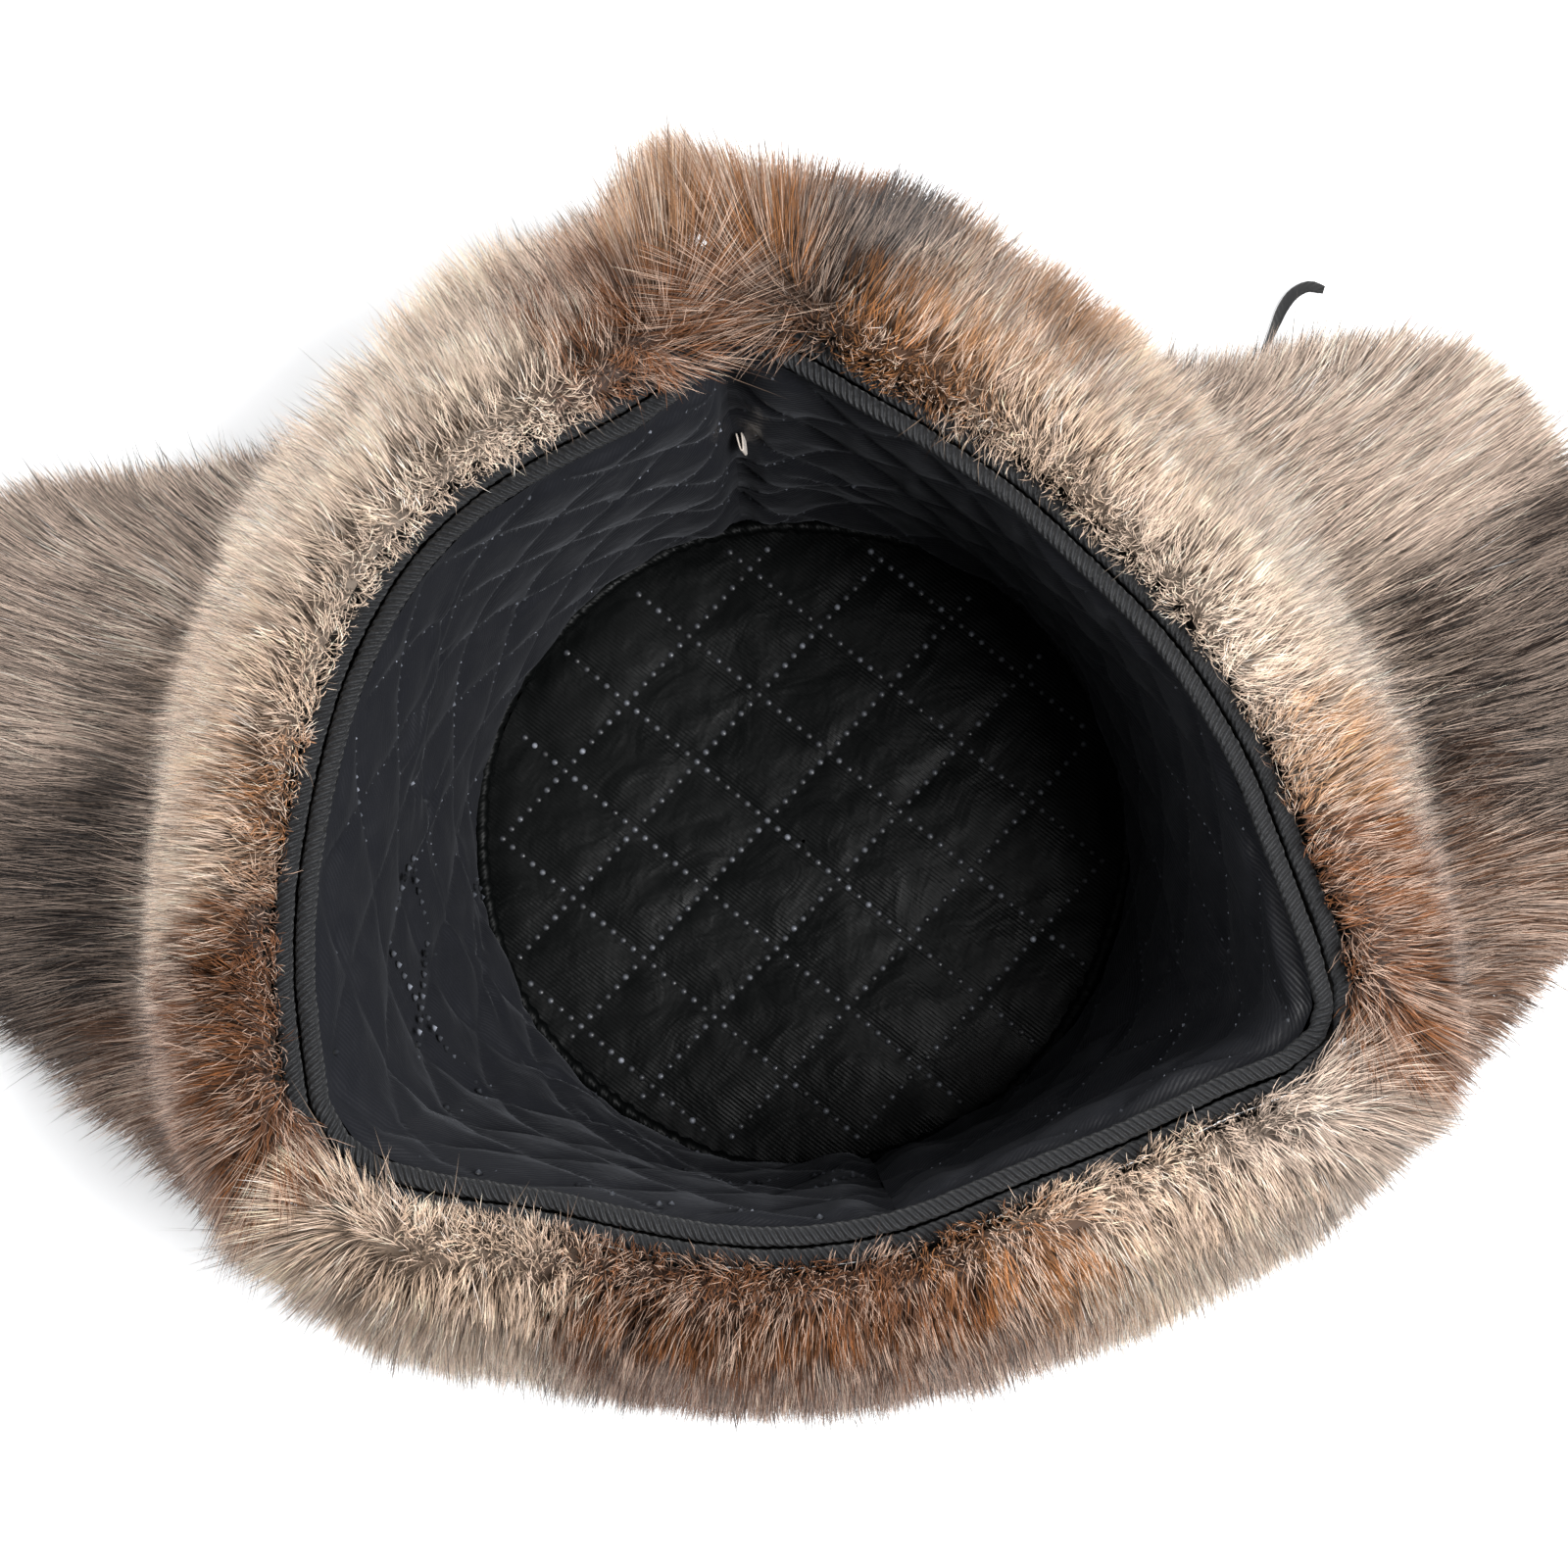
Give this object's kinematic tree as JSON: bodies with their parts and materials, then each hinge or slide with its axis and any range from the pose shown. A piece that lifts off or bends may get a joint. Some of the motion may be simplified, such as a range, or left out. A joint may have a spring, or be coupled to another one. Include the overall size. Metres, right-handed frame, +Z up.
{
  "type": "aviator hat",
  "caption": "Leather aviator hat with long-haired fur ear, neck and front flaps and a quilted lining, resting on its crown with the head opening up.",
  "frame": {"origin": "centre of the flat of the crown's top panel, on which the hat rests", "axes": "+Z up, out of the head opening; -Y towards the wearer's front, where the front flap is; +X towards the right-hand ear flap as seen from above with the front towards the viewer"},
  "size_m": [0.4021, 0.2632, 0.1556],
  "materials": {
    "black_leather": "soft grained leather with a low sheen",
    "quilted_lining": "smooth black taffeta, quilted in diamonds",
    "twill_tape": "ribbed black binding tape",
    "rabbit_fur": "long soft fur, cream to brown",
    "woven_tag": "plain off-white woven tape",
    "lace_cord": "flat black woven lace"
  },
  "bodies": {
    "root": {"crown_tip": "black_leather", "crown_wall_left": "black_leather", "crown_wall_right": "black_leather", "lining_tip": "quilted_lining", "lining_wall_left": "quilted_lining", "lining_wall_right": "quilted_lining", "lining_tape": "twill_tape", "flap_tape_left": "twill_tape", "flap_tape_right": "twill_tape", "front_tape": "twill_tape", "ear_flap_left_shell": "black_leather", "ear_flap_left_fur": "rabbit_fur", "ear_flap_right_shell": "black_leather", "ear_flap_right_fur": "rabbit_fur", "front_flap_shell": "black_leather", "front_flap_fur": "rabbit_fur", "tie_lace": "lace_cord", "woven_tag": "woven_tag"}
  },
  "joints": []
}
